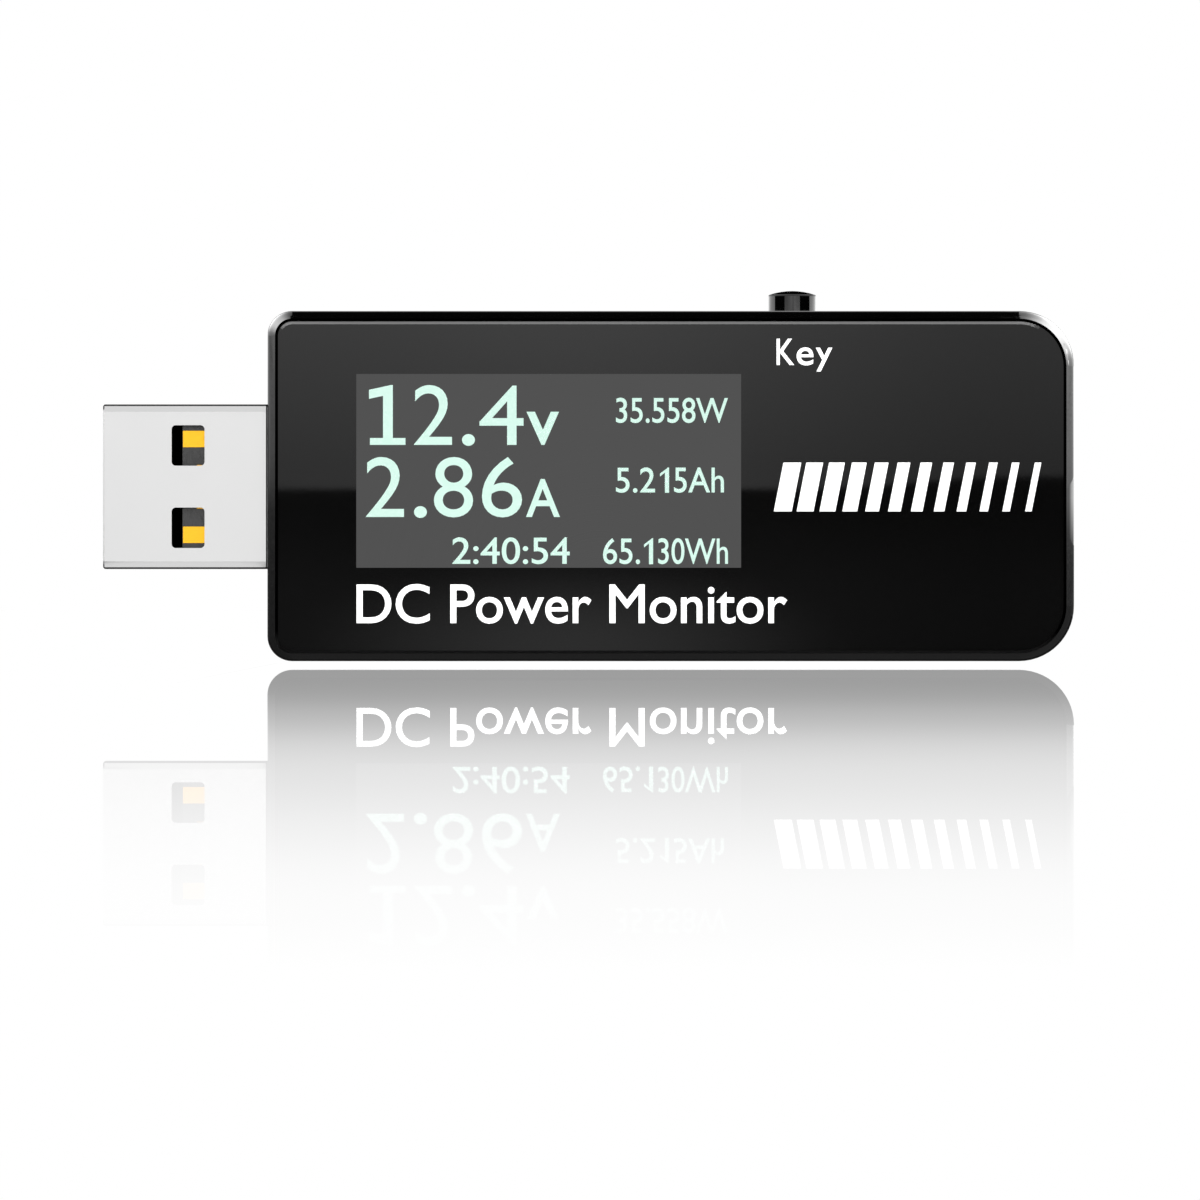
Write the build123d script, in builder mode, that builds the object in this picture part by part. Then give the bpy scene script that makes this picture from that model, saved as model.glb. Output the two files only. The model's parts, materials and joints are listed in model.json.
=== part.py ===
from build123d import *
import os

# USB power meter: a flat clamshell case with a plug at one end, a socket at the other, a
# display behind a window and a key on the top edge.
#
# Frame, in millimetres: +X runs from the plug to the socket, +Z is up towards the key and
# -Y is the side with the display. The origin is on the plug's axis, where the plug leaves
# the case, so the connectors share one axis: Y = 0 and Z = 0.

# ---- case -------------------------------------------------------------------------------
case_length = 58.5
case_height = 25.4
front_y = -7.6
rear_y = 5.4
plug_end_radius = 1.8  # corners seen from the front, beside the plug
socket_end_radius = 4.0  # corners beside the socket
front_edge_radius = 0.5
rear_edge_radius = 1.2
wall = 1.4
rear_wall = 1.5
parting_chamfer = 0.12
shell_step = 0.05  # the rear cover stands back from the front one, which hides any mismatch
gap = 0.05  # general clearance between neighbours
over = 1.0  # how far a cutting shape runs past what it cuts

# Front panel in its recess, with a narrow groove round it.
recess_inset = 0.56
panel_inset = 0.77
panel_thickness = 1.0
panel_chamfer = 0.2
front_wall = 0.8  # wall left behind the panel

# The rear cover's lip sits inside the front cover and snaps into it.
lip_inset = 0.78
lip_height = 1.4
lip_clearance = 0.08
bead_radius = 0.22
bead_length = 7.0
bead_x = (14.0, 50.0)
bead_level = 0.6  # share of the lip's height

# A shallow notch to lever the panel edge, on the socket end.
pry_notch_depth = 0.25
pry_notch_z = (-4.3, 0.6)
pry_notch_run = 1.2
pry_notch_slope = 0.4  # length of its sloped ends

label_length = 40.0
label_height = 17.0
label_depth = 0.15
label_film = 0.12
label_x = 29.0
label_corner = 1.0

# ---- stack behind the panel -------------------------------------------------------------
window_centre = (20.4, 1.1)  # X and Z
window_length = 27.9
window_height = 14.05
window_flange = 1.0
window_flange_thickness = 0.7

panel_back_y = front_y + panel_thickness
floor_y = panel_back_y + front_wall
gasket_thickness = 0.2
glass_front_y = floor_y + gasket_thickness
glass_thickness = 0.65
active_thickness = 0.05
glass_back_y = glass_front_y + 2 * glass_thickness + active_thickness
tape_thickness = 0.2
board_front_y = glass_back_y + tape_thickness
board_thickness = 1.0
board_back_y = board_front_y + board_thickness
cavity_rear_y = rear_y - rear_wall

glass_x = (4.2, 36.6)
cover_glass_z = (-7.5, 9.7)
substrate_z = (-10.7, 9.7)
glass_chamfer = 0.1
active_margin = 0.4  # lit area beyond each side of the window
soft_corner = 0.5  # corners of the gasket and the tape
driver_chip_length = 12.0
driver_chip_z = (-8.9, -7.9)
driver_chip_thickness = 0.35
tape_x = (6.0, 34.0)
tape_z = (-6.5, 8.5)
flex_sheet = 0.1
flex_length = 12.0
flex_start_z = -9.3
flex_low_z = -11.1
flex_end_z = -7.4
flex_fold = 0.3
flex_radius = 0.2

# ---- circuit board ----------------------------------------------------------------------
board_x = (1.7, 56.8)
board_half_height = 11.05
board_plug_end_radius = 0.5
board_socket_end_radius = 2.5
post_places = ((2.8, 9.9), (2.8, -9.9), (50.0, 9.3), (50.0, -9.3))  # X and Z
front_boss_radius = 1.2
pin_radius = 0.6
pin_reach = 2.4
rear_post_radius = 1.3
post_hole_radius = 0.7
post_hole_depth = 1.7
slot_clearance = 0.15  # round a leg in its slot
flex_notch_z = -10.4
contact_hole_radius = 0.6

# ---- USB plug and socket (USB-A sizes) ----------------------------------------------------
sheet = 0.3
plug_width = 12.0
plug_thickness = 4.5
plug_reach = 12.1
plug_inner_x = 5.6
plug_corner = 0.55
latch_window = (2.4, 2.95)
latch_window_start = 5.0  # from the tip of the plug
latch_window_offset = 3.0  # from the axis
contact_width = 1.2
contact_strip = 0.2
contact_face_y = 0.3
power_contact_z = 3.5
data_contact_z = 1.0
power_contact_start = 5.75  # from the tip of the plug
data_contact_start = 6.75
latch_window_corner = 0.3
plug_tip_chamfer = 0.1
seam_width = 0.08
seam_depth = 0.1
dovetail_x = (-8.0, -6.0)  # neck of the seam's dovetail
dovetail_flare = 0.4
dovetail_rise = 0.9
plug_fit = 0.03  # clearance of the insulator in the shell and of a contact in its groove
insulator_setback = 0.5  # from the tip of the plug
insulator_round = 0.35
insulator_end_x = 8.2
insulator_foot_half_width = 5.6
channel_depth = 0.7  # below the contacts' faces, ahead of the contacts
contact_bend_x = 8.25
contact_foot_x = 9.6

socket_width = 13.1
socket_thickness = 5.72
socket_inner_x = 44.7
socket_mouth_x = case_length - gap
socket_corner = 0.6
tongue_x = (48.2, 57.6)
tongue_y = (-1.72, 0.0)
tongue_half_width = 5.55
leaf_width = 1.9
leaf_slot = 0.25
leaf_rise = 0.25
leaf_root_x = 50.0
leaf_tip_x = 56.8
leaf_offset = 3.0
leaf_overlap = 0.5  # into the wall at the root
leaf_bend = 0.4  # from the root to where the leaf leaves the wall
leaf_crest = (2.0, 1.4)  # from the tip
leaf_kick = 0.2  # how far the tip bends back out
leaf_sheet = 0.24
mouth_chamfer = 0.15
leg_width = 1.6
leg_reach = 0.3  # past the front of the board
short_leg_reach = 0.15
socket_leg_x = (47.0, 53.6)
socket_leg_root_y = -1.6
plug_leg_x = 3.8
plug_leg_root_y = -1.0
socket_round = 0.4  # edges of the insulator's block
tongue_chamfer = 0.25
groove_depth = 0.5
groove_width = contact_width + 0.2
groove_end = 0.3  # from the tongue's tip
groove_roof = 0.1  # over the grooves inside the block
spring_strip = 0.18
spring_width = 1.1
spring_bend = 0.3
spring_tip = (57.15, -0.25)  # X and Y
spring_crest_x = (54.6, 55.6)
spring_crest_y = 0.34
spring_root_x = 50.5
spring_root_y = -0.3
pin_row_x = 44.1

# ---- key switch, a side-acting tactile switch ---------------------------------------------
key_x = 38.15
key_radius = 1.75
key_hole_radius = 1.85
key_rise = 1.6  # above the case
key_dome = 0.3
key_edge_radius = 0.12
key_hole_chamfer = 0.3
switch_side = 6.0
switch_top_z = 11.0
switch_plate = 0.25
switch_base_z = 7.7
switch_floor_z = 8.9
flange_radius = 2.35
flange_thickness = 0.6
flange_clearance = 0.1
nub_radius = 0.8
nub_height = 1.0
nub_gap = 0.02  # above the dome
dome_rise = 0.55
dome_sheet = 0.1
dome_radius = 2.1
switch_corner = 0.3
cover_hole_clearance = 0.08
tab_offset = 1.7
tab_width = 1.2
tab_sheet = 0.2
tab_low_z = 8.3
terminal_offset = 2.25
terminal_width = 0.7
terminal_sheet = 0.25
terminal_gap = 0.03  # under the base
terminal_root_y = 2.0

# ---- parts on the back of the board: X and Z of each, and its size ------------------------
package_standoff = 0.1
package_bevel = 0.15
lead_rise = 0.55
lead_sheet = 0.14
lead_start = 0.01
lead_knee = 0.29
lead_end = 0.85
fine_lead_width = 0.35
coarse_lead_width = 0.42
wide_lead_width = 1.7

controller_place = (23.0, -1.2)
controller_size = (7.0, 7.0, 1.4)
controller_leads = (8, 0.8)  # along each side, and their pitch
amplifier_place = (36.5, -4.5)
amplifier_size = (4.9, 3.9, 1.45)
amplifier_leads = (4, 1.27)
regulator_place = (32.4, 5.4)
regulator_size = (4.5, 2.5, 1.4)
regulator_leads = (3, 1.5)

# Two-ended parts: length, height, thickness and length of an end cap.
cap_lip = 0.03  # how far the caps stand proud of the body
shunt_size = (6.3, 3.1, 0.7, 1.0)
shunt_places = ((38.4, 2.4),)
capacitor_size = (2.0, 1.25, 0.9, 0.45)
capacitor_places = (
    (16.4, 8.6), (19.6, 8.6), (22.8, 8.6), (16.4, 5.9), (29.4, -5.2), (42.2, -8.9), (19.6, 5.4),
)
resistor_size = (1.6, 0.8, 0.45, 0.3)
resistor_places = (
    (26.0, 8.6), (28.6, 8.6), (31.2, 8.6), (25.6, 5.4), (30.4, -1.4), (30.4, 0.6), (31.6, -8.9), (35.0, -9.0),
)
tantalum_size = (3.5, 2.8, 1.9, 0.5)
tantalum_places = ((12.0, 7.4),)

crystal_place = (13.2, -1.4)
crystal_base = (10.4, 4.6, 0.4)  # length, width and thickness
crystal_can = (9.6, 3.9, 3.2)
crystal_edge_radius = 0.4


def at_y(y):
    """Sketch plane at a depth, facing the front: its X is X, its Y is Z, its normal -Y."""
    return Plane.XZ.offset(-y)


def at_x(x):
    """Sketch plane across the connectors: its X is Y, its Y is Z, its normal +X."""
    return Plane.YZ.offset(x)


def block(x, y, z, mode=Mode.ADD):
    """Box given by its low and high limit along each axis."""
    size = [high - low for low, high in (x, y, z)]
    with Locations([tuple((low + high) / 2 for low, high in (x, y, z))]):
        Box(*size, mode=mode)


def round_plate(x, half_height, left_radius, right_radius):
    """Rectangle in the open sketch, from x[0] to x[1], with its own radius at each end."""
    with Locations(((x[0] + x[1]) / 2, 0)):
        Rectangle(x[1] - x[0], 2 * half_height)
    fillet(vertices().group_by(Axis.X)[0], left_radius)
    fillet(vertices().group_by(Axis.X)[-1], right_radius)


def case_outline(inset):
    """The case's outline in the open sketch, moved in by inset."""
    round_plate(
        (inset, case_length - inset),
        case_height / 2 - inset,
        plug_end_radius - inset if inset < plug_end_radius - 0.3 else 0.3,
        socket_end_radius - inset,
    )


def plate(x, y, z, radius=0.0, mode=Mode.ADD):
    """Flat piece facing the front, with rounded corners when radius is given."""
    with BuildSketch(at_y(y[0])) as profile:
        with Locations(((x[0] + x[1]) / 2, (z[0] + z[1]) / 2)):
            if radius:
                RectangleRounded(x[1] - x[0], z[1] - z[0], radius)
            else:
                Rectangle(x[1] - x[0], z[1] - z[0])
    extrude(profile.sketch, amount=y[0] - y[1], mode=mode)


def rod(radius, y, places, mode=Mode.ADD):
    """Round rods along Y between two depths, at the given X and Z places."""
    with BuildSketch(at_y(y[0])) as profile:
        with Locations(places):
            Circle(radius)
    extrude(profile.sketch, amount=y[0] - y[1], mode=mode)


def around(centre, length):
    """Low and high limit of a length about its centre."""
    return (centre - length / 2, centre + length / 2)


def tube(x, thickness, width, corner):
    """Square tube of sheet along X, for a connector's shell."""
    with BuildSketch(at_x(x[0])) as profile:
        RectangleRounded(thickness, width, corner)
        RectangleRounded(
            thickness - 2 * sheet, width - 2 * sheet, corner - sheet + gap, mode=Mode.SUBTRACT
        )
    extrude(profile.sketch, amount=x[1] - x[0])


def connector_openings():
    """Cuts the plug's, the socket's and the key's openings out of a cover."""
    half_plug = (plug_thickness / 2 + gap, plug_width / 2 + gap)
    half_socket = (socket_thickness / 2 + 2 * gap, socket_width / 2 + 2 * gap)
    block(
        (-over, wall + over),
        (-half_plug[0], half_plug[0]),
        (-half_plug[1], half_plug[1]),
        Mode.SUBTRACT,
    )
    block(
        (case_length - wall - over, case_length + over),
        (-half_socket[0], half_socket[0]),
        (-half_socket[1], half_socket[1]),
        Mode.SUBTRACT,
    )
    with Locations((key_x, 0, case_height / 2 - wall / 2)):
        Cylinder(key_hole_radius, wall + 2 * over, mode=Mode.SUBTRACT)
    with Locations((key_x, 0, case_height / 2)):
        Cone(
            key_hole_radius,
            key_hole_radius + key_hole_chamfer,
            key_hole_chamfer,
            align=(Align.CENTER, Align.CENTER, Align.MAX),
            mode=Mode.SUBTRACT,
        )


def snap_beads(radius, mode):
    """Half-round beads along the lip's long sides, or the grooves that take them."""
    for side in (-1, 1):
        with Locations(
            [(x, -lip_height * bead_level, side * (case_height / 2 - lip_inset)) for x in bead_x]
        ):
            Cylinder(radius, bead_length + 4 * (radius - bead_radius), rotation=(0, 90, 0), mode=mode)


def mirrored(*values):
    """Each value with its negative."""
    return [sign * value for value in values for sign in (-1, 1)]


def cap_sphere(radius, rise):
    """Radius of the sphere whose cap has the given rim radius and rise."""
    return (radius**2 + rise**2) / (2 * rise)


# ---- covers -------------------------------------------------------------------------------
with BuildPart() as front_cover:
    with BuildSketch(at_y(0)):
        case_outline(0)
    extrude(amount=-front_y)
    fillet(front_cover.faces().sort_by(Axis.Y)[0].edges(), front_edge_radius)
    chamfer(front_cover.faces().sort_by(Axis.Y)[-1].edges(), parting_chamfer)
    with BuildSketch(at_y(front_y)):
        case_outline(recess_inset)
    extrude(amount=-panel_thickness, mode=Mode.SUBTRACT)
    with BuildSketch(at_y(0)):
        case_outline(wall)
    extrude(amount=-floor_y, mode=Mode.SUBTRACT)
    with BuildSketch(at_y(0)):
        case_outline(lip_inset - lip_clearance)
    extrude(amount=lip_height + lip_clearance, mode=Mode.SUBTRACT)
    plate(
        around(window_centre[0], window_length + 2 * window_flange + 4 * gap),
        (panel_back_y - gap, floor_y + gap),
        around(window_centre[1], window_height + 2 * window_flange + 4 * gap),
        mode=Mode.SUBTRACT,
    )
    snap_beads(bead_radius + lip_clearance, Mode.SUBTRACT)
    connector_openings()
    with BuildSketch(at_y(front_y)):
        with BuildLine():
            Polyline(
                (case_length + over, pry_notch_z[1]),
                (case_length, pry_notch_z[1]),
                (case_length - pry_notch_depth, pry_notch_z[1] - pry_notch_slope),
                (case_length - pry_notch_depth, pry_notch_z[0] + pry_notch_slope),
                (case_length, pry_notch_z[0]),
                (case_length + over, pry_notch_z[0]),
                close=True,
            )
        make_face()
    extrude(amount=-pry_notch_run, mode=Mode.SUBTRACT)
    rod(front_boss_radius, (board_front_y, floor_y - gap), post_places)
    rod(pin_radius, (board_front_y + pin_reach, board_front_y - gap), post_places)

with BuildPart() as rear_cover:
    with BuildSketch(at_y(0)):
        case_outline(shell_step)
    extrude(amount=-rear_y)
    fillet(rear_cover.faces().sort_by(Axis.Y)[-1].edges(), rear_edge_radius)
    chamfer(rear_cover.faces().sort_by(Axis.Y)[0].edges(), parting_chamfer)
    with BuildSketch(at_y(0)):
        case_outline(lip_inset)
    extrude(amount=lip_height)
    snap_beads(bead_radius, Mode.ADD)
    with BuildSketch(at_y(cavity_rear_y)):
        case_outline(wall)
    extrude(amount=cavity_rear_y + lip_height + over, mode=Mode.SUBTRACT)
    connector_openings()
    rod(rear_post_radius, (board_back_y, cavity_rear_y + gap), post_places)
    rod(post_hole_radius, (board_back_y, board_back_y + post_hole_depth), post_places, Mode.SUBTRACT)
    plate(
        around(label_x, label_length),
        (rear_y - label_depth, rear_y + over),
        around(0, label_height),
        radius=label_corner,
        mode=Mode.SUBTRACT,
    )

with BuildPart() as rating_label:
    plate(
        around(label_x, label_length - 4 * gap),
        (rear_y - label_depth, rear_y - label_depth + label_film),
        around(0, label_height - 4 * gap),
        radius=label_corner - 2 * gap,
    )

# ---- front panel and window -----------------------------------------------------------------
with BuildPart() as front_panel:
    with BuildSketch(at_y(panel_back_y)):
        case_outline(panel_inset)
    extrude(amount=panel_thickness)
    chamfer(front_panel.faces().sort_by(Axis.Y)[0].edges(), panel_chamfer)
    plate(
        around(window_centre[0], window_length),
        (front_y - gap, panel_back_y + gap),
        around(window_centre[1], window_height),
        mode=Mode.SUBTRACT,
    )

with BuildPart() as display_window:
    plate(
        around(window_centre[0], window_length - gap),
        (front_y, panel_back_y),
        around(window_centre[1], window_height - gap),
    )
    plate(
        around(window_centre[0], window_length + 2 * window_flange),
        (panel_back_y, panel_back_y + window_flange_thickness),
        around(window_centre[1], window_height + 2 * window_flange),
    )

# ---- display module -------------------------------------------------------------------------
with BuildPart() as display_gasket:
    plate(glass_x, (floor_y, glass_front_y), cover_glass_z, radius=soft_corner)
    plate(
        around(window_centre[0], window_length + window_flange),
        (floor_y - gap, glass_front_y + gap),
        around(window_centre[1], window_height + window_flange),
        radius=soft_corner,
        mode=Mode.SUBTRACT,
    )

with BuildPart() as oled_cover_glass:
    plate(glass_x, (glass_front_y, glass_front_y + glass_thickness), cover_glass_z)
    chamfer(oled_cover_glass.faces().sort_by(Axis.Y)[0].edges(), glass_chamfer)

active_y = glass_front_y + glass_thickness
with BuildPart() as oled_active_layer:
    plate(
        around(window_centre[0], window_length + 2 * active_margin),
        (active_y, active_y + active_thickness),
        around(window_centre[1], window_height + 2 * active_margin),
    )

with BuildPart() as oled_substrate:
    plate(glass_x, (active_y + active_thickness, glass_back_y), substrate_z)
    chamfer(oled_substrate.faces().sort_by(Axis.Y)[-1].edges(), glass_chamfer)

ledge_y = active_y + active_thickness
with BuildPart() as oled_driver_chip:
    block(
        around(window_centre[0], driver_chip_length),
        (ledge_y - driver_chip_thickness, ledge_y),
        driver_chip_z,
    )

with BuildPart() as display_tape:
    plate(tape_x, (glass_back_y, board_front_y), tape_z, radius=soft_corner)

# The ribbon leaves the ledge, folds round the board's lower edge and lies on its back.
flex_path = (
    (ledge_y - flex_sheet / 2, flex_start_z),
    (ledge_y - flex_sheet / 2, flex_low_z + flex_fold),
    (ledge_y + flex_fold, flex_low_z),
    (board_back_y - flex_fold, flex_low_z),
    (board_back_y + flex_sheet / 2, flex_low_z + flex_fold),
    (board_back_y + flex_sheet / 2, flex_end_z),
)
with BuildPart() as display_ribbon:
    with BuildSketch(at_x(window_centre[0] - flex_length / 2)):
        with BuildLine():
            FilletPolyline(*flex_path, radius=flex_radius)
        trace(line_width=flex_sheet)
    extrude(amount=flex_length)

# ---- circuit board --------------------------------------------------------------------------
terminal_z = (switch_base_z - terminal_gap - terminal_sheet, switch_base_z - terminal_gap)


def leg_slot(x, y, z):
    """Slot through the board round a leg that stands in the given box."""
    block(
        (x[0] - slot_clearance, x[1] + slot_clearance),
        y,
        (z[0] - slot_clearance, z[1] + slot_clearance),
        Mode.SUBTRACT,
    )


def shell_leg(x, width, side):
    """X and Z limits of a leg that goes on from a shell's side wall."""
    return around(x, leg_width), sorted((side * (width / 2 - sheet), side * width / 2))


with BuildPart() as circuit_board:
    with BuildSketch(at_y(board_back_y)):
        round_plate(board_x, board_half_height, board_plug_end_radius, board_socket_end_radius)
    extrude(amount=board_thickness)
    through = (board_front_y - gap, board_back_y + gap)
    rod(post_hole_radius, through, post_places, Mode.SUBTRACT)
    block(
        around(window_centre[0], flex_length + over),
        through,
        (-board_half_height - over, flex_notch_z),
        Mode.SUBTRACT,
    )
    for side in (-1, 1):
        leg_x, leg_z = shell_leg(plug_leg_x, plug_width, side)
        leg_slot(leg_x, through, leg_z)
        for x in socket_leg_x:
            leg_x, leg_z = shell_leg(x, socket_width, side)
            leg_slot(leg_x, through, leg_z)
        leg_slot(around(key_x + side * terminal_offset, terminal_width), through, terminal_z)
    contact_places = [(pin_row_x, z) for z in mirrored(data_contact_z, power_contact_z)]
    rod(contact_hole_radius, through, contact_places, Mode.SUBTRACT)

# ---- plug -----------------------------------------------------------------------------------
with BuildPart() as plug_shell:
    tube((-plug_reach, plug_inner_x), plug_thickness, plug_width, plug_corner)
    chamfer(plug_shell.faces().sort_by(Axis.X)[0].outer_wire().edges(), plug_tip_chamfer)
    window_x = (latch_window_start - plug_reach, latch_window_start - plug_reach + latch_window[0])
    for z in mirrored(latch_window_offset):
        plate(
            window_x,
            (-plug_thickness, plug_thickness),
            around(z, latch_window[1]),
            radius=latch_window_corner,
            mode=Mode.SUBTRACT,
        )
    # The sheet is rolled up and meets on the rear face: a fine seam with one dovetail.
    with BuildSketch(at_y(plug_thickness / 2 - seam_depth)):
        with BuildLine():
            Polyline(
                (-plug_reach - over, 0),
                (dovetail_x[0], 0),
                (dovetail_x[0] - dovetail_flare, dovetail_rise),
                (dovetail_x[1] + dovetail_flare, dovetail_rise),
                (dovetail_x[1], 0),
                (plug_inner_x + over, 0),
            )
        trace(line_width=seam_width)
    extrude(amount=-over, mode=Mode.SUBTRACT)
    for side in (-1, 1):
        leg_x, leg_z = shell_leg(plug_leg_x, plug_width, side)
        block(leg_x, (board_front_y - short_leg_reach, plug_leg_root_y), leg_z)

plug_inside_y = plug_thickness / 2 - sheet
plug_inside_z = plug_width / 2 - sheet
contacts = ((power_contact_z, power_contact_start), (data_contact_z, data_contact_start))
with BuildPart() as plug_insulator:
    body_y = (contact_face_y, plug_inside_y - plug_fit)
    body_z = (-plug_inside_z + gap, plug_inside_z - gap)
    nose_x = -plug_reach + power_contact_start - plug_fit
    block(
        (-plug_reach + insulator_setback, nose_x), (contact_face_y + channel_depth, body_y[1]), body_z
    )
    block((nose_x, insulator_end_x), body_y, body_z)
    fillet(plug_insulator.edges().filter_by(Axis.X).group_by(Axis.Y)[-1], insulator_round)
    block(
        (plug_inner_x + gap, insulator_end_x),
        (board_back_y, plug_thickness / 2),
        (-insulator_foot_half_width, insulator_foot_half_width),
    )
    for z, start in contacts:
        for centre in mirrored(z):
            block(
                (-plug_reach + start - plug_fit, insulator_end_x + over),
                (contact_face_y - plug_fit, contact_face_y + contact_strip + plug_fit),
                around(centre, contact_width + 2 * plug_fit),
                Mode.SUBTRACT,
            )

with BuildPart() as plug_contacts:
    for z, start in contacts:
        for centre in mirrored(z):
            strip_z = around(centre, contact_width)
            bend_x = (contact_bend_x, contact_bend_x + contact_strip)
            strip_y = (contact_face_y, contact_face_y + contact_strip)
            block((start - plug_reach, bend_x[1]), strip_y, strip_z)
            block(bend_x, (board_back_y, strip_y[1]), strip_z)
            block((bend_x[0], contact_foot_x), (board_back_y, board_back_y + contact_strip), strip_z)

# ---- socket ---------------------------------------------------------------------------------
socket_inside_y = socket_thickness / 2 - sheet
socket_inside_z = socket_width / 2 - sheet


def leaf_outline(wall_at):
    """Side view of a spring leaf cut from the wall whose inner face is at wall_at."""
    crest_at = wall_at - leaf_rise
    inner = [
        (leaf_root_x - leaf_overlap, wall_at),
        (leaf_root_x + leaf_bend, wall_at),
        (leaf_tip_x - leaf_crest[0], crest_at),
        (leaf_tip_x - leaf_crest[1], crest_at),
        (leaf_tip_x, wall_at + leaf_kick),
    ]
    outer = [(x, y + leaf_sheet) for x, y in reversed(inner)]
    with BuildLine() as outline:
        Polyline(*inner, *outer, close=True)
    make_face(outline.edges())


with BuildPart() as socket_shell:
    tube((socket_inner_x, socket_mouth_x), socket_thickness, socket_width, socket_corner)
    chamfer(socket_shell.faces().sort_by(Axis.X)[-1].inner_wires()[0].edges(), mouth_chamfer)
    slot_x = (leaf_root_x, leaf_tip_x + leaf_slot)
    for z in mirrored(leaf_offset):
        plate(
            slot_x,
            (-socket_thickness, socket_thickness),
            around(z, leaf_width + 2 * leaf_slot),
            mode=Mode.SUBTRACT,
        )
    block(slot_x, around(0, leaf_width + 2 * leaf_slot), (-socket_width, socket_width), Mode.SUBTRACT)
    for z in mirrored(leaf_offset):
        with BuildSketch(Plane.XY.offset(z - leaf_width / 2)):
            leaf_outline(socket_inside_y)
            mirror(about=Plane.XZ)
        extrude(amount=leaf_width)
    with BuildSketch(Plane.XZ.offset(-leaf_width / 2)):
        leaf_outline(socket_inside_z)
        mirror(about=Plane.XZ)
    extrude(amount=leaf_width)
    for side in (-1, 1):
        for x in socket_leg_x:
            leg_x, leg_z = shell_leg(x, socket_width, side)
            block(leg_x, (board_front_y - leg_reach, socket_leg_root_y), leg_z)

with BuildPart() as socket_insulator:
    block(
        (socket_inner_x, tongue_x[0]),
        (-socket_inside_y + gap, socket_inside_y - gap),
        (-socket_inside_z + gap, socket_inside_z - gap),
    )
    fillet(socket_insulator.edges().filter_by(Axis.X), socket_round)
    block(tongue_x, tongue_y, (-tongue_half_width, tongue_half_width))
    chamfer(socket_insulator.faces().sort_by(Axis.X)[-1].edges(), tongue_chamfer)
    groove_low = tongue_y[1] - groove_depth
    for z in mirrored(data_contact_z, power_contact_z):
        block(
            (tongue_x[0], tongue_x[1] - groove_end),
            (groove_low, tongue_y[1] + over),
            around(z, groove_width),
            Mode.SUBTRACT,
        )
        block(
            (socket_inner_x - over, tongue_x[0] + gap),
            (groove_low, tongue_y[1] - groove_roof),
            around(z, groove_width),
            Mode.SUBTRACT,
        )

spring_path = (
    spring_tip,
    (spring_crest_x[1], spring_crest_y),
    (spring_crest_x[0], spring_crest_y),
    (spring_root_x, spring_root_y),
    (pin_row_x, spring_root_y),
    (pin_row_x, board_front_y - leg_reach),
)
with BuildPart() as socket_contacts:
    for z in mirrored(data_contact_z, power_contact_z):
        with BuildSketch(Plane.XY.offset(z - spring_width / 2)):
            with BuildLine():
                FilletPolyline(*spring_path, radius=spring_bend)
            trace(line_width=spring_strip)
        extrude(amount=spring_width)

# ---- key switch -----------------------------------------------------------------------------
key_top_z = case_height / 2 + key_rise
flange_top_z = switch_top_z - switch_plate - gap
dome_top_z = switch_floor_z + dome_rise + dome_sheet
with BuildPart() as key_plunger:
    sphere_radius = cap_sphere(key_radius, key_dome)
    with Locations((key_x, 0, dome_top_z + nub_gap)):
        Cylinder(nub_radius, nub_height, align=(Align.CENTER, Align.CENTER, Align.MIN))
    with Locations((key_x, 0, flange_top_z)):
        Cylinder(flange_radius, flange_thickness, align=(Align.CENTER, Align.CENTER, Align.MAX))
        Cylinder(
            key_radius, key_top_z - flange_top_z, align=(Align.CENTER, Align.CENTER, Align.MIN)
        )
    with Locations((key_x, 0, key_top_z - sphere_radius)):
        Sphere(sphere_radius, mode=Mode.INTERSECT)
    fillet(key_plunger.edges().filter_by(Plane.XY).sort_by(Axis.Z)[-1], key_edge_radius)

switch_x = around(key_x, switch_side)
switch_y = around(0, switch_side)
with BuildPart() as switch_base:
    block(switch_x, switch_y, (switch_base_z, switch_top_z - switch_plate))
    chamfer(switch_base.edges().filter_by(Axis.Z), switch_corner)
    with Locations((key_x, 0, switch_floor_z)):
        Cylinder(
            flange_radius + flange_clearance,
            switch_side,
            align=(Align.CENTER, Align.CENTER, Align.MIN),
            mode=Mode.SUBTRACT,
        )

with BuildPart() as switch_cover:
    block(switch_x, switch_y, (switch_top_z - switch_plate, switch_top_z))
    for side in (-1, 1):
        edge = key_x + side * switch_side / 2
        for y in mirrored(tab_offset):
            tab_x = sorted((edge, edge + side * tab_sheet))
            block(tab_x, around(y, tab_width), (tab_low_z, switch_top_z))
    with Locations((key_x, 0, switch_top_z)):
        Cylinder(key_radius + cover_hole_clearance, over, mode=Mode.SUBTRACT)

with BuildPart() as switch_dome:
    sphere_radius = cap_sphere(dome_radius, dome_rise)
    with Locations((key_x, 0, switch_floor_z + dome_rise - sphere_radius)):
        Sphere(sphere_radius + dome_sheet)
        Sphere(sphere_radius, mode=Mode.SUBTRACT)
    split(bisect_by=Plane.XY.offset(switch_floor_z), keep=Keep.TOP)

with BuildPart() as switch_terminals:
    for side in mirrored(terminal_offset):
        block(
            around(key_x + side, terminal_width),
            (board_front_y - short_leg_reach, terminal_root_y),
            terminal_z,
        )


# ---- parts on the back of the board ---------------------------------------------------------
def bar(x, y, width):
    """Loose box between two X and two Y limits, centred on Z = 0."""
    return Pos(sum(x) / 2, sum(y) / 2, 0) * Box(x[1] - x[0], y[1] - y[0], width)


def gull_lead(width):
    """One lead of a moulded package; it leaves the body at the origin, towards +X."""
    shoulder = bar((lead_start, lead_knee), (lead_rise - lead_sheet, lead_rise), width)
    riser = bar((lead_knee - lead_sheet, lead_knee), (0, lead_rise), width)
    foot = bar((lead_knee - lead_sheet, lead_end), (0, lead_sheet), width)
    return shoulder + riser + foot


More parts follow.
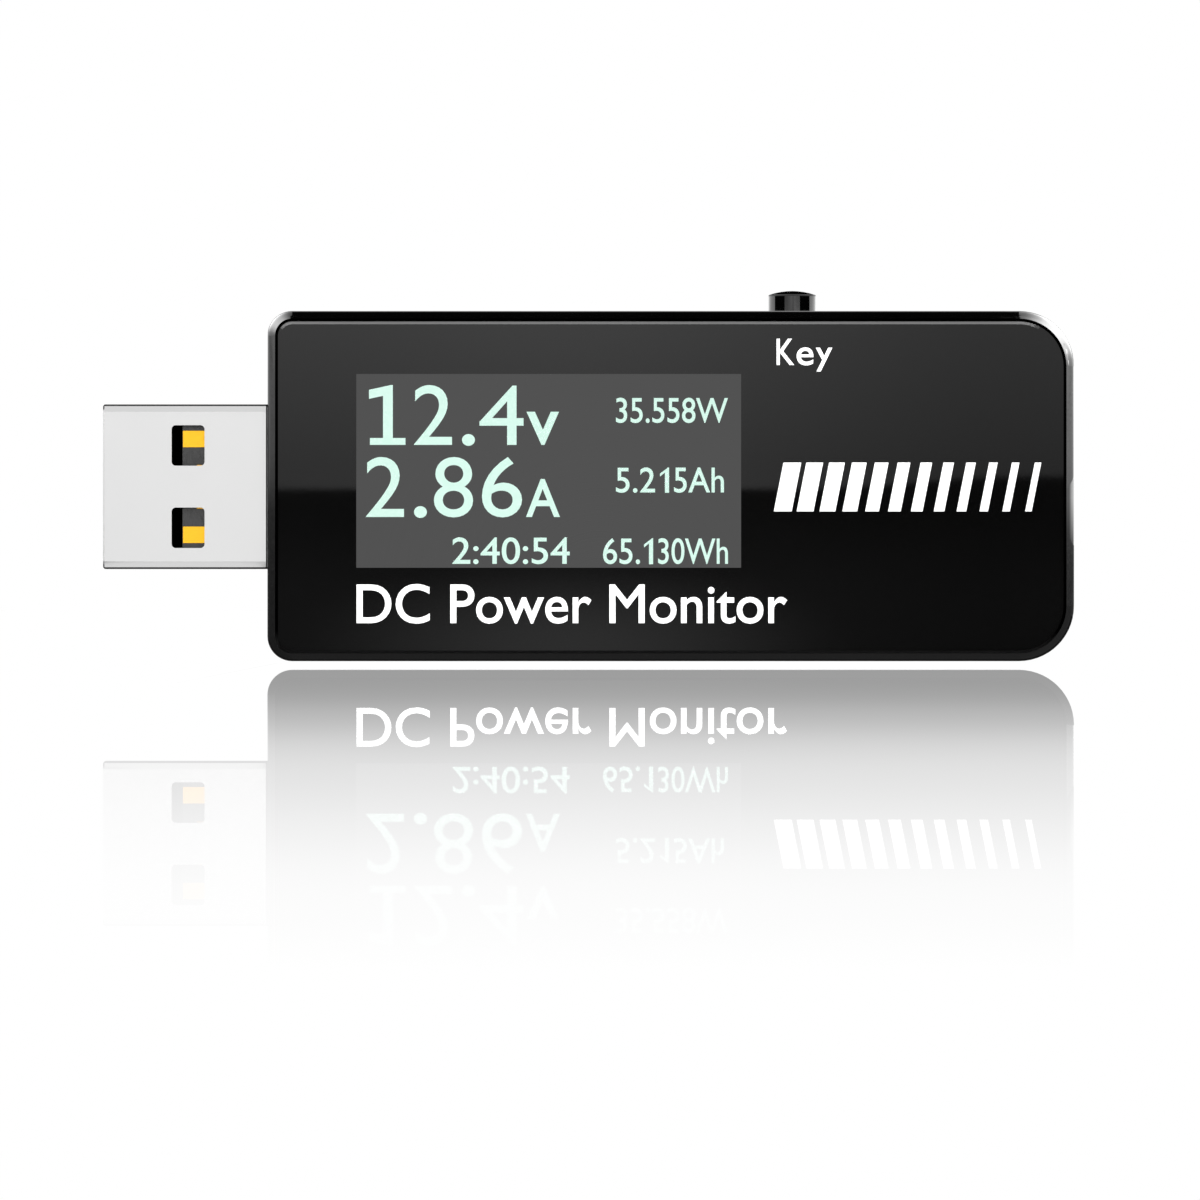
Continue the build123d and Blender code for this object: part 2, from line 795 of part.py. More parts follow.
def package(place, length, height, thickness):
    """Moulded body on the back of the board, with its upper edges bevelled."""
    low = board_back_y + package_standoff
    block(around(place[0], length), (low, low + thickness), around(place[1], height))
    chamfer(faces().sort_by(Axis.Y)[-1].edges(), package_bevel)


def row(count, pitch):
    """Evenly spaced positions about zero."""
    return [(index - (count - 1) / 2) * pitch for index in range(count)]


def add_leads(lead, place, half_length, offsets, turns):
    """Rows of leads at the sides of a package, one row for each turn about Y."""
    for turn in turns:
        with Locations(Location((place[0], board_back_y, place[1]), (0, turn, 0))):
            with Locations([(half_length, 0, offset) for offset in offsets]):
                add(lead)


def chips(places, length, height, thickness, cap):
    """Small two-ended parts: end caps a little larger than the body between them."""
    for x, z in places:
        top = board_back_y + thickness
        block(
            around(x, length - 2 * cap),
            (board_back_y + cap_lip, top - cap_lip),
            around(z, height - 2 * cap_lip),
        )
        for end in mirrored((length - cap) / 2):
            block(around(x + end, cap), (board_back_y, top), around(z, height))


fine_lead = gull_lead(fine_lead_width)
coarse_lead = gull_lead(coarse_lead_width)
wide_lead = gull_lead(wide_lead_width)

with BuildPart() as microcontroller:
    package(controller_place, *controller_size)

with BuildPart() as microcontroller_leads:
    add_leads(
        fine_lead, controller_place, controller_size[0] / 2, row(*controller_leads), (0, 90, 180, 270)
    )

with BuildPart() as sense_amplifier:
    package(amplifier_place, *amplifier_size)

with BuildPart() as sense_amplifier_leads:
    add_leads(coarse_lead, amplifier_place, amplifier_size[1] / 2, row(*amplifier_leads), (90, 270))

with BuildPart() as voltage_regulator:
    package(regulator_place, *regulator_size)

with BuildPart() as voltage_regulator_leads:
    add_leads(coarse_lead, regulator_place, regulator_size[1] / 2, row(*regulator_leads), (90,))
    add_leads(wide_lead, regulator_place, regulator_size[1] / 2, (0,), (270,))

with BuildPart() as shunt_resistor:
    chips(shunt_places, *shunt_size)

with BuildPart() as crystal:
    for length, width, thickness in (crystal_base, crystal_can):
        with BuildSketch(at_y(board_back_y)):
            with Locations(crystal_place):
                SlotOverall(length, width, rotation=90)
        extrude(amount=-thickness)
    fillet(crystal.faces().sort_by(Axis.Y)[-1].edges(), crystal_edge_radius)

with BuildPart() as ceramic_capacitors:
    chips(capacitor_places, *capacitor_size)

with BuildPart() as chip_resistors:
    chips(resistor_places, *resistor_size)

with BuildPart() as tantalum_capacitor:
    chips(tantalum_places, *tantalum_size)

# ---- write every piece ----------------------------------------------------------------------
pieces = {
    "front_cover": front_cover,
    "rear_cover": rear_cover,
    "rating_label": rating_label,
    "front_panel": front_panel,
    "display_window": display_window,
    "display_gasket": display_gasket,
    "oled_cover_glass": oled_cover_glass,
    "oled_active_layer": oled_active_layer,
    "oled_substrate": oled_substrate,
    "oled_driver_chip": oled_driver_chip,
    "display_tape": display_tape,
    "display_ribbon": display_ribbon,
    "circuit_board": circuit_board,
    "plug_shell": plug_shell,
    "plug_insulator": plug_insulator,
    "plug_contacts": plug_contacts,
    "socket_shell": socket_shell,
    "socket_insulator": socket_insulator,
    "socket_contacts": socket_contacts,
    "key_plunger": key_plunger,
    "switch_base": switch_base,
    "switch_cover": switch_cover,
    "switch_dome": switch_dome,
    "switch_terminals": switch_terminals,
    "microcontroller": microcontroller,
    "microcontroller_leads": microcontroller_leads,
    "sense_amplifier": sense_amplifier,
    "sense_amplifier_leads": sense_amplifier_leads,
    "voltage_regulator": voltage_regulator,
    "voltage_regulator_leads": voltage_regulator_leads,
    "shunt_resistor": shunt_resistor,
    "crystal": crystal,
    "ceramic_capacitors": ceramic_capacitors,
    "chip_resistors": chip_resistors,
    "tantalum_capacitor": tantalum_capacitor,
}
os.makedirs("parts", exist_ok=True)
for name, piece in pieces.items():
    piece.part.label = name
    export_step(piece.part, f"parts/{name}.step")
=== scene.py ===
import json
import math

import bmesh
import bpy
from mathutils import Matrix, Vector


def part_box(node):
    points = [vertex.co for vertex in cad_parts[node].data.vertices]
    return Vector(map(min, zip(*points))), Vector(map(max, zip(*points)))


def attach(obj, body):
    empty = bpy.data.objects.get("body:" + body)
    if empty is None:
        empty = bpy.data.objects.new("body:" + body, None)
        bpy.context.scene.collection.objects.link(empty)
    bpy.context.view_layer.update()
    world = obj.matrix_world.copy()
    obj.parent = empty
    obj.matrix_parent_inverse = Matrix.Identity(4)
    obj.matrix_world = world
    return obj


# Looks of the USB power meter. Everything is in metres, in the part's own frame: +X towards
# the socket, +Z towards the key, -Y is the side with the display.

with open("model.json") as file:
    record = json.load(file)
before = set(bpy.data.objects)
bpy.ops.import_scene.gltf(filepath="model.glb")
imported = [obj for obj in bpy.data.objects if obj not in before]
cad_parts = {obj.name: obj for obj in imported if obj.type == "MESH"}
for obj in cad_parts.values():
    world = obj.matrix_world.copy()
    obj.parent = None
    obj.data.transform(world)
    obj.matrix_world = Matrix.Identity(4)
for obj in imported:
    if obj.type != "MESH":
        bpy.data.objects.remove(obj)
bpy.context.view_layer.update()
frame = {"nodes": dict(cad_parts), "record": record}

MM = 0.001
BODY = "meter"
DISPLAY_GLOW = 0.0845  # the lit display shows as an even dark grey
PRINT_THICKNESS = 0.02 * MM

case_low, case_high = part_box("front_cover")
FRONT = case_low.y  # the case's front plane
TOP = case_high.z
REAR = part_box("rear_cover")[1].y
LENGTH = case_high.x
PLUG_END_RADIUS = 1.8 * MM  # the case's corners, seen from the front
SOCKET_END_RADIUS = 4.0 * MM


# ---- node building ------------------------------------------------------------------------
class Nodes:
    """Short calls for building a node tree; each returns an output socket."""

    def __init__(self, tree):
        self.tree = tree
        tree.nodes.clear()

    def add(self, kind, **settings):
        node = self.tree.nodes.new(kind)
        for name, value in settings.items():
            setattr(node, name, value)
        return node

    def put(self, socket, value):
        """Links value to the socket, or sets it when it's a plain value."""
        if isinstance(value, bpy.types.NodeSocket):
            self.tree.links.new(value, socket)
        else:
            socket.default_value = value

    def math(self, operation, *values, clamp=False):
        node = self.add("ShaderNodeMath", operation=operation, use_clamp=clamp)
        for socket, value in zip(node.inputs, values):
            self.put(socket, value)
        return node.outputs[0]

    def sum(self, *values):
        total = values[0]
        for value in values[1:]:
            total = self.math("ADD", total, value)
        return total

    def times(self, *values):
        total = values[0]
        for value in values[1:]:
            total = self.math("MULTIPLY", total, value)
        return total

    def invert(self, value):
        return self.math("SUBTRACT", 1.0, value)

    def ramp(self, value, start, end, low=0.0, high=1.0, smooth=True):
        """Goes from low to high as value goes from start to end, and stays there."""
        kind = "SMOOTHSTEP" if smooth else "LINEAR"
        node = self.add("ShaderNodeMapRange", interpolation_type=kind)
        for socket, given in zip(node.inputs, (value, start, end, low, high)):
            self.put(socket, given)
        return node.outputs[0]

    def mix(self, factor, first, second):
        """Colour between first and second."""
        node = self.add("ShaderNodeMixRGB")
        for socket, given in zip(node.inputs, (factor, first, second)):
            self.put(socket, given)
        return node.outputs[0]

    def position(self):
        """X, Y and Z of the shaded point in metres, in the part's frame."""
        node = self.add("ShaderNodeSeparateXYZ")
        self.put(node.inputs[0], self.add("ShaderNodeTexCoord").outputs["Object"])
        return node.outputs

    def normal(self):
        node = self.add("ShaderNodeSeparateXYZ")
        self.put(node.inputs[0], self.add("ShaderNodeNewGeometry").outputs["True Normal"])
        return node.outputs

    def noise(self, size, detail=3.0, stretch=(1, 1, 1)):
        """Noise from 0 to 1 whose grains are about size metres across."""
        mapping = self.add("ShaderNodeMapping")
        self.put(mapping.inputs["Vector"], self.add("ShaderNodeTexCoord").outputs["Object"])
        mapping.inputs["Scale"].default_value = [1 / (size * part) for part in stretch]
        node = self.add("ShaderNodeTexNoise")
        self.put(node.inputs["Vector"], mapping.outputs[0])
        node.inputs["Scale"].default_value = 1.0
        node.inputs["Detail"].default_value = detail
        return node.outputs[0]

    def bump(self, height, distance, strength=1.0):
        node = self.add("ShaderNodeBump")
        node.inputs["Strength"].default_value = strength
        node.inputs["Distance"].default_value = distance
        self.put(node.inputs["Height"], height)
        return node.outputs[0]

    def unit(self, x, y, z):
        """Unit vector with the given direction."""
        joined = self.add("ShaderNodeCombineXYZ")
        for socket, value in zip(joined.inputs, (x, y, z)):
            self.put(socket, value)
        node = self.add("ShaderNodeVectorMath", operation="NORMALIZE")
        self.put(node.inputs[0], joined.outputs[0])
        return node.outputs[0]

    def surface(self, **inputs):
        """Principled surface; names use _ for the spaces in its inputs."""
        node = self.add("ShaderNodeBsdfPrincipled")
        for name, value in inputs.items():
            self.put(node.inputs[name.replace("_", " ")], value)
        self.finish(node.outputs[0])

    def finish(self, shader):
        self.put(self.add("ShaderNodeOutputMaterial").inputs["Surface"], shader)


def grey(value):
    return (value, value, value, 1.0)


def shade(color, factor):
    return (*[min(1.0, part * factor) for part in color[:3]], 1.0)


def new_material(name):
    material = bpy.data.materials.new(name)
    material.use_nodes = True
    return material, Nodes(material.node_tree)


# ---- materials of the object --------------------------------------------------------------
def moulded_plastic(name, color, roughness, grain=0.25 * MM, relief=0.002 * MM, wear=0.25):
    """Moulded plastic: faint mottling, a fine moulded grain and slightly varied gloss."""
    material, n = new_material(name)
    cloud = n.noise(6 * MM)
    skin = n.noise(grain, detail=4.0)
    n.surface(
        Base_Color=n.mix(cloud, shade(color, 0.85), shade(color, 1.2)),
        Roughness=n.sum(n.times(n.sum(cloud, skin), wear * roughness), roughness * (1 - wear)),
        IOR=1.49,
        Normal=n.bump(skin, relief, 0.5),
    )
    return material


def brushed_metal(name, color, roughness, along=(14, 1, 1), relief=0.0015 * MM):
    """Plated sheet metal with fine drawing lines along one axis."""
    material, n = new_material(name)
    lines = n.noise(0.05 * MM, detail=4.0, stretch=along)
    cloud = n.noise(3 * MM)
    n.surface(
        Base_Color=n.mix(n.times(n.sum(lines, cloud), 0.5), shade(color, 0.93), shade(color, 1.05)),
        Metallic=1.0,
        Roughness=n.sum(n.times(lines, 0.12), n.times(cloud, 0.08), roughness - 0.1),
        Normal=n.bump(lines, relief, 0.4),
    )
    return material


def clear_sheet(name, color, alpha):
    """Clear sheet with a coated face: unseen head-on, and faintly seen from the side."""
    material, n = new_material(name)
    haze = n.noise(4 * MM)
    facing = n.add("ShaderNodeLayerWeight").outputs["Facing"]
    n.surface(
        Base_Color=n.mix(haze, shade(color, 0.95), shade(color, 1.05)),
        Roughness=n.ramp(haze, 0.2, 0.8, 0.03, 0.07),
        IOR=1.49,
        Alpha=n.ramp(facing, 0.05, 0.8, 0.0, alpha),
    )
    return material


def foam(name, color):
    material, n = new_material(name)
    cell = n.add("ShaderNodeTexVoronoi")
    cell.inputs["Scale"].default_value = 1 / (0.12 * MM)
    n.put(cell.inputs["Vector"], n.add("ShaderNodeTexCoord").outputs["Object"])
    n.surface(
        Base_Color=n.mix(cell.outputs["Distance"], shade(color, 0.8), shade(color, 1.1)),
        Roughness=n.ramp(cell.outputs["Distance"], 0.0, 1.0, 0.8, 0.95),
        Normal=n.bump(cell.outputs["Distance"], 0.02 * MM),
    )
    return material


def crowned_land(n):
    """Normal of the narrow front land: it leans outward a little, as the moulded rim does."""
    lean = 7.1  # forward part of the normal for each unit outward
    left, right = PLUG_END_RADIUS, LENGTH - SOCKET_END_RADIUS  # where the corner arcs start
    x, _, z = n.position()
    bound = n.ramp(x, left, right, TOP - PLUG_END_RADIUS, TOP - SOCKET_END_RADIUS, smooth=False)
    inner_x = n.math("MINIMUM", n.math("MAXIMUM", x, left), right)
    inner_z = n.math("MINIMUM", n.math("MAXIMUM", z, n.times(bound, -1.0)), bound)
    out_x = n.sum(x, n.times(inner_x, -1.0))
    out_z = n.sum(z, n.times(inner_z, -1.0))
    out = n.math("SQRT", n.sum(n.times(out_x, out_x), n.times(out_z, out_z)))
    return n.unit(out_x, n.times(out, -lean), out_z)


def case_plastic():
    """Glossy black moulding, matt in the recess behind the panel's edge, with painted light from
    the floor along the bottom of that recess.
    """
    material, n = new_material("case_plastic")
    cloud = n.noise(6 * MM)
    skin = n.noise(0.25 * MM, detail=4.0)
    x, y, z = n.position()
    flat = n.ramp(n.normal()["Y"], -0.990, -0.998)  # faces that look forward
    glossy_end = 0.45 * MM  # the lever notch in the socket end isn't matt
    inside = n.math("LESS_THAN", x, LENGTH - glossy_end)
    recess = n.times(flat, inside, n.ramp(y, FRONT + 0.2 * MM, FRONT + 0.4 * MM))
    # painted light: the bottom of the groove under the panel is coloured lighter, standing in for
    # light from the floor
    painted_groove_light = n.times(recess, n.ramp(z, 2.4 * MM - TOP, 1.0 * MM - TOP))  # under the panel
    land = n.times(flat, n.invert(recess))
    n.surface(
        Base_Color=n.mix(painted_groove_light, n.mix(cloud, grey(0.0006), grey(0.0012)), grey(0.05)),
        Roughness=n.sum(n.ramp(n.times(cloud, skin), 0.1, 0.5, 0.03, 0.06), n.times(recess, 0.5)),
        IOR=1.49,
        Specular_IOR_Level=n.ramp(recess, 0.0, 1.0, 0.5, 0.0),
        Normal=n.mix(land, n.bump(skin, 0.0002 * MM, 0.4), crowned_land(n)),
    )
    return material


def panel_acrylic():
    """Polished black sheet; its bevel is matt along the top, with a painted highlight there, and
    melts into the face elsewhere.
    """
    material, n = new_material("panel_acrylic")
    normal = n.normal()
    facing = n.math("ABSOLUTE", normal["Y"])
    bevel = n.times(n.ramp(facing, 0.9, 0.8), n.ramp(facing, 0.3, 0.5))
    upward = n.sum(normal["Z"], n.times(normal["X"], -0.3))
    # painted highlight: the bevel is coloured light grey where it faces up, as if lit from above
    matt = n.times(bevel, n.ramp(upward, 0.52, 0.75, smooth=False))
    haze = n.noise(9 * MM)
    dust = n.bump(n.noise(0.3 * MM, detail=5.0), 0.0002 * MM, 0.3)
    n.surface(
        Base_Color=n.mix(matt, n.mix(haze, grey(0.0010), grey(0.0016)), grey(0.21)),
        Roughness=n.sum(n.times(matt, 0.45), n.ramp(haze, 0.2, 0.8, 0.012, 0.022)),
        IOR=1.49,
        Specular_IOR_Level=n.ramp(matt, 0.0, 1.0, 0.5, 0.0),
        Normal=n.mix(bevel, dust, n.unit(0.0, -1.0, 0.0)),
    )
    return material


def plug_steel():
    """Satin nickel over steel: nearly even in soft light, with painted shade where it turns away
    and a painted shadow beside the case.
    """
    material, n = new_material("plug_steel")
    lines = n.noise(0.05 * MM, detail=4.0, stretch=(14, 1, 1))
    cloud = n.noise(3 * MM)
    turned = n.add("ShaderNodeLayerWeight").outputs["Facing"]
    # painted shadow: a dark line along the shell where it meets the case
    painted_case_shadow = n.ramp(n.position()["X"], -0.25 * MM, -0.2 * MM)  # the dark line beside the case
    # painted shade: where the shell turns away from the view it is coloured dark and stops being
    # metal
    edge = n.math("MAXIMUM", n.ramp(turned, 0.33, 0.39), painted_case_shadow)
    satin = n.mix(n.times(n.sum(lines, cloud), 0.5), grey(0.65), grey(0.68))
    n.surface(
        Base_Color=n.mix(edge, satin, n.mix(painted_case_shadow, grey(0.035), grey(0.005))),
        Metallic=n.invert(edge),
        Specular_IOR_Level=n.ramp(edge, 0.0, 1.0, 0.5, 0.0),
        Roughness=n.sum(n.times(lines, 0.04), n.times(cloud, 0.04), 0.14),
        Normal=n.bump(lines, 0.0004 * MM, 0.3),
    )
    return material


def plug_insulator_plastic():
    """Grey insulator with painted shade that turns it black in the deep channel ahead of the
    contacts.
    """
    material, n = new_material("plug_plastic")
    contact_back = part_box("plug_contacts")[1].y
    # painted shade: the insulator is coloured black deeper in the channel
    depth = n.ramp(n.position()["Y"], contact_back + 0.15 * MM, contact_back + 0.3 * MM)
    grain = n.noise(0.2 * MM)
    n.surface(
        Base_Color=n.mix(depth, n.mix(grain, grey(0.03), grey(0.04)), grey(0.0005)),
        Specular_IOR_Level=n.ramp(depth, 0.0, 1.0, 0.85, 0.0),
        Roughness=n.ramp(grain, 0.2, 0.8, 0.2, 0.3),
        Normal=n.bump(grain, 0.002 * MM),
    )
    return material


def contact_gold():
    material, n = new_material("contact_gold")
    lines = n.noise(0.06 * MM, stretch=(12, 1, 1))
    n.surface(
        Base_Color=n.mix(lines, (0.95, 0.52, 0.03, 1.0), (0.97, 0.55, 0.04, 1.0)),
        Metallic=1.0,
        Roughness=n.ramp(lines, 0.2, 0.8, 0.16, 0.24),
        Normal=n.bump(lines, 0.0005 * MM, 0.4),
        # painted glow: the gold gives off a faint orange light of its own, though it is no lamp
        Emission_Color=(1.0, 0.5, 0.02, 1.0),
        Emission_Strength=0.06,
    )
    return material


def cover_glass():
    """Clear glass, unseen head-on, whose back carries the lit layer."""
    material, n = new_material("display_glass")
    x, y, z = n.position()
    glass_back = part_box("oled_cover_glass")[1].y
    low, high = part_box("oled_active_layer")
    lit = n.times(
        n.ramp(y, glass_back - 0.02 * MM, glass_back - 0.01 * MM),
        n.math("GREATER_THAN", x, low.x), n.math("LESS_THAN", x, high.x),
        n.math("GREATER_THAN", z, low.z), n.math("LESS_THAN", z, high.z),
    )
    facing = n.add("ShaderNodeLayerWeight").outputs["Facing"]
    haze = n.noise(4 * MM)
    n.surface(
        Base_Color=n.mix(haze, grey(0.009), grey(0.011)),
        Roughness=n.ramp(haze, 0.2, 0.8, 0.03, 0.07),
        IOR=1.49,
        Alpha=n.math("MAXIMUM", n.ramp(facing, 0.05, 0.8, 0.0, 0.2), lit),
        Specular_IOR_Level=n.ramp(lit, 0.0, 1.0, 0.5, 0.0),
        Emission_Color=grey(1.0),
        Emission_Strength=n.times(lit, DISPLAY_GLOW),
    )
    return material


def display_active():
    """Lit display layer: a nearly even grey glow."""
    material, n = new_material("display_active")
    glow = n.noise(1.5 * MM)
    n.surface(
        Base_Color=grey(0.002),
        Roughness=n.ramp(glow, 0.2, 0.8, 0.4, 0.5),
        Specular_IOR_Level=0.0,
        Emission_Color=n.mix(glow, grey(0.98), grey(1.0)),
        Emission_Strength=DISPLAY_GLOW,
    )
    return material


def display_text():
    material, n = new_material("display_text")
    flicker = n.noise(0.6 * MM)
    n.surface(
        Base_Color=grey(0.01),
        Roughness=0.5,
        Emission_Color=n.mix(flicker, (0.65, 0.94, 0.82, 1.0), (0.71, 0.98, 0.87, 1.0)),
        Emission_Strength=0.98,
    )
    return material


def printed_ink():
    """Screen-printed white ink, slightly uneven, with a painted glow that keeps it bright."""
    material, n = new_material("printed_ink")
    cover = n.noise(0.15 * MM, detail=4.0)
    n.surface(
        Base_Color=n.mix(cover, grey(0.9), grey(0.96)),
        Roughness=n.ramp(cover, 0.2, 0.8, 0.4, 0.55),
        Normal=n.bump(cover, 0.001 * MM),
        # painted glow: the ink gives off a little white light of its own
        Emission_Color=grey(1.0),
        Emission_Strength=0.25,
    )
    return material


def label_ink():
    """Thin black print, worn a little."""
    material, n = new_material("label_ink")
    worn = n.noise(0.1 * MM, detail=4.0)
    n.surface(
        Base_Color=n.mix(n.ramp(worn, 0.55, 0.7), grey(0.01), grey(0.05)),
        Roughness=n.ramp(worn, 0.2, 0.8, 0.4, 0.6),
        Normal=n.bump(worn, 0.001 * MM),
    )
    return material


def label_film():
    material, n = new_material("label_film")
    brush = n.noise(0.08 * MM, stretch=(30, 1, 1))
    n.surface(
        Base_Color=n.mix(brush, grey(0.42), grey(0.5)),
        Roughness=n.ramp(brush, 0.2, 0.8, 0.38, 0.5),
        Metallic=0.3,
        Normal=n.bump(brush, 0.001 * MM),
    )
    return material


def board_laminate():
    """Green mask over tracks, with the bare laminate on the cut edges."""
    material, n = new_material("board_laminate")
    face = n.ramp(n.math("ABSOLUTE", n.normal()["Y"]), 0.5, 0.9)
    weave = n.noise(0.4 * MM)
    tracks = n.add("ShaderNodeTexBrick")
    n.put(tracks.inputs["Vector"], n.add("ShaderNodeTexCoord").outputs["Object"])
    tracks.inputs["Scale"].default_value = 1 / (1.6 * MM)
    tracks.inputs["Mortar Size"].default_value = 0.06
    mask = n.mix(tracks.outputs["Fac"], (0.006, 0.055, 0.018, 1.0), (0.012, 0.1, 0.035, 1.0))
    n.surface(
        Base_Color=n.mix(face, n.mix(weave, (0.3, 0.27, 0.12, 1), (0.4, 0.36, 0.18, 1)), mask),
        Roughness=n.ramp(weave, 0.2, 0.8, 0.3, 0.45),
        Normal=n.bump(tracks.outputs["Fac"], 0.01 * MM),
    )
    return material


def ribbon_film():
    material, n = new_material("ribbon_film")
    lanes = n.math("PINGPONG", n.math("DIVIDE", n.position()["X"], 0.5 * MM), 0.5)
    n.surface(
        Base_Color=n.mix(n.ramp(lanes, 0.2, 0.3), (0.45, 0.2, 0.04, 1), (0.28, 0.1, 0.02, 1)),
        Roughness=n.ramp(n.noise(1 * MM), 0.2, 0.8, 0.3, 0.45),
        Normal=n.bump(lanes, 0.01 * MM),
    )
    return material


def slot_materials():
    """One material for each of the record's slots."""
    return {
        "case_plastic": case_plastic(),
        "panel_acrylic": panel_acrylic(),
        "window_acrylic": clear_sheet("window_acrylic", grey(0.01), 0.3),
        "label_film": label_film(),
        "gasket_foam": foam("gasket_foam", grey(0.015)),
        "display_glass": cover_glass(),
        "display_active": display_active(),
        "tape_foam": foam("tape_foam", grey(0.7)),
        "ribbon_film": ribbon_film(),
        "board_laminate": board_laminate(),
        "plug_steel": plug_steel(),
        "socket_steel": brushed_metal("socket_steel", grey(0.72), 0.34),
        "plug_plastic": plug_insulator_plastic(),
        "socket_plastic": moulded_plastic("socket_plastic", grey(0.012), 0.45),
        "contact_gold": contact_gold(),
        "key_plastic": moulded_plastic("key_plastic", grey(0.001), 0.05, relief=0.0002 * MM),
        "switch_plastic": moulded_plastic("switch_plastic", grey(0.012), 0.5),
        "switch_steel": brushed_metal("switch_steel", grey(0.62), 0.3),
        "dome_steel": brushed_metal("dome_steel", grey(0.6), 0.25),
        "tinned_metal": brushed_metal("tinned_metal", grey(0.66), 0.35),
        "chip_epoxy": moulded_plastic("chip_epoxy", grey(0.014), 0.6, grain=0.06 * MM),
        "crystal_can": brushed_metal("crystal_can", grey(0.66), 0.28),
        "ceramic_body": moulded_plastic("ceramic_body", (0.3, 0.18, 0.09, 1), 0.5),
        "resistor_body": moulded_plastic("resistor_body", grey(0.02), 0.4),
        "tantalum_body": moulded_plastic("tantalum_body", (0.55, 0.32, 0.05, 1), 0.5),
    }


def dress_nodes():
    """Gives every CAD node its slot's material."""
    materials = slot_materials()
    for entry in frame["record"]["subparts"]:
        node = frame["nodes"][entry["node"]]
        node.data.materials.clear()
        node.data.materials.append(materials[entry["material_slot"]])


# ---- print and readouts -------------------------------------------------------------------
def glyphs(name, text, low, high, front, material, weight=0.0):
    """Raised text filling the box from low to high (X, Z), its face at the depth front."""
    curve = bpy.data.curves.new(name, "FONT")
    curve.body = text
    curve.extrude = 0.01  # any depth will do, because the mesh is scaled to the thickness
    curve.bevel_depth = weight
    curve.bevel_resolution = 1
    curve.resolution_u = 6
    holder = bpy.data.objects.new(name + "_outline", curve)
    bpy.context.scene.collection.objects.link(holder)
    bpy.context.view_layer.update()
    graph = bpy.context.evaluated_depsgraph_get()
    mesh = bpy.data.meshes.new_from_object(holder.evaluated_get(graph))
    bpy.data.objects.remove(holder)
    xs = [vertex.co.x for vertex in mesh.vertices]
    zs = [vertex.co.y for vertex in mesh.vertices]
    half = max(vertex.co.z for vertex in mesh.vertices)
    wide = (high[0] - low[0]) / (max(xs) - min(xs))
    tall = (high[1] - low[1]) / (max(zs) - min(zs))
    for vertex in mesh.vertices:
        x, z, depth = vertex.co
        vertex.co = (
            low[0] + (x - min(xs)) * wide,
            front + (0.5 - 0.5 * depth / half) * PRINT_THICKNESS,
            low[1] + (z - min(zs)) * tall,
        )
    place(name, mesh, material)


def place(name, mesh, material):
    """A new piece of the meter."""
    mesh.name = name
    mesh.materials.clear()
    mesh.materials.append(material)
    piece = bpy.data.objects.new(name, mesh)
    bpy.context.scene.collection.objects.link(piece)
    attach(piece, BODY)


def cut_out(name, outlines, front, back):
    """Mesh of thin solids between two depths, from outlines of X and Z in millimetres."""
    bm = bmesh.new()
    for outline in outlines:
        fronts = [bm.verts.new((x * MM, front, z * MM)) for x, z in outline]
        backs = [bm.verts.new((x * MM, back, z * MM)) for x, z in outline]
        bm.faces.new(fronts)
        bm.faces.new(backs[::-1])
        for index in range(len(outline)):
            after = (index + 1) % len(outline)
            bm.faces.new((fronts[after], fronts[index], backs[index], backs[after]))
    bmesh.ops.recalc_face_normals(bm, faces=bm.faces)
    mesh = bpy.data.meshes.new(name)
    bm.to_mesh(mesh)
    return mesh


def rectangle(left, low, right, high):
    return [(left, low), (left, high), (right, high), (right, low)]


INK_WEIGHT = 0.008  # how far the outlines of the print are thickened, in letter heights
KEY_LETTERS = (
    # letter, left, bottom, right and top in millimetres
    ("K", 36.92, 8.77, 38.20, 10.68),
    ("e", 38.37, 8.74, 39.60, 10.05),
    ("y", 39.76, 8.30, 40.97, 10.03),
)


def level_bars():
    """Outlines of a row of slanted bars that get narrower towards the socket."""
    count, start, end = 12, 36.72, 57.3
    low, high, slant = -1.84, 1.7, 0.7
    widest, narrowest = 0.78, 0.28  # shares of the pitch
    pitch = (end - start - slant) / count
    bars = []
    for index in range(count):
        width = pitch * (widest - (widest - narrowest) * index / (count - 1))
        left = start + index * pitch
        bars.append([
            (left, low), (left + slant, high), (left + slant + width, high), (left + width, low),
        ])
    return bars


def print_panel():
    """White print on the panel: the key's name, a plain description and a row of bars."""
    ink = printed_ink()
    front = FRONT - PRINT_THICKNESS / 2
    for letter, left, low, right, high in KEY_LETTERS:
        glyphs("print_key_" + letter.lower(), letter, (left * MM, low * MM),
               (right * MM, high * MM), front, ink, INK_WEIGHT)
    title_low, title_high = (6.47 * MM, -9.98 * MM), (37.68 * MM, -7.1 * MM)
    glyphs("print_title", "DC Power Monitor", title_low, title_high, front, ink,
           INK_WEIGHT)
    bars = cut_out("print_bars", level_bars(), front, front + PRINT_THICKNESS)
    place("print_bars", bars, ink)


def print_label():
    """Plain frame and rule lines printed on the rear label."""
    low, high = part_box("rating_label")
    margin, line, indent, rules = 1.2, 0.18, 2, 4
    left, right = low.x / MM + margin, high.x / MM - margin
    bottom, top = low.z / MM + margin, high.z / MM - margin
    shapes = [
        rectangle(left, bottom, right, bottom + line), rectangle(left, top - line, right, top),
        rectangle(left, bottom, left + line, top), rectangle(right - line, bottom, right, top),
    ]
    for index in range(1, rules):
        height = bottom + index * (top - bottom) / rules
        low_edge, high_edge = height - line / 2, height + line / 2
        shapes.append(rectangle(left + indent, low_edge, right - indent, high_edge))
    lines = cut_out("print_label", shapes, high.y, high.y + PRINT_THICKNESS)
    place("print_label", lines, label_ink())


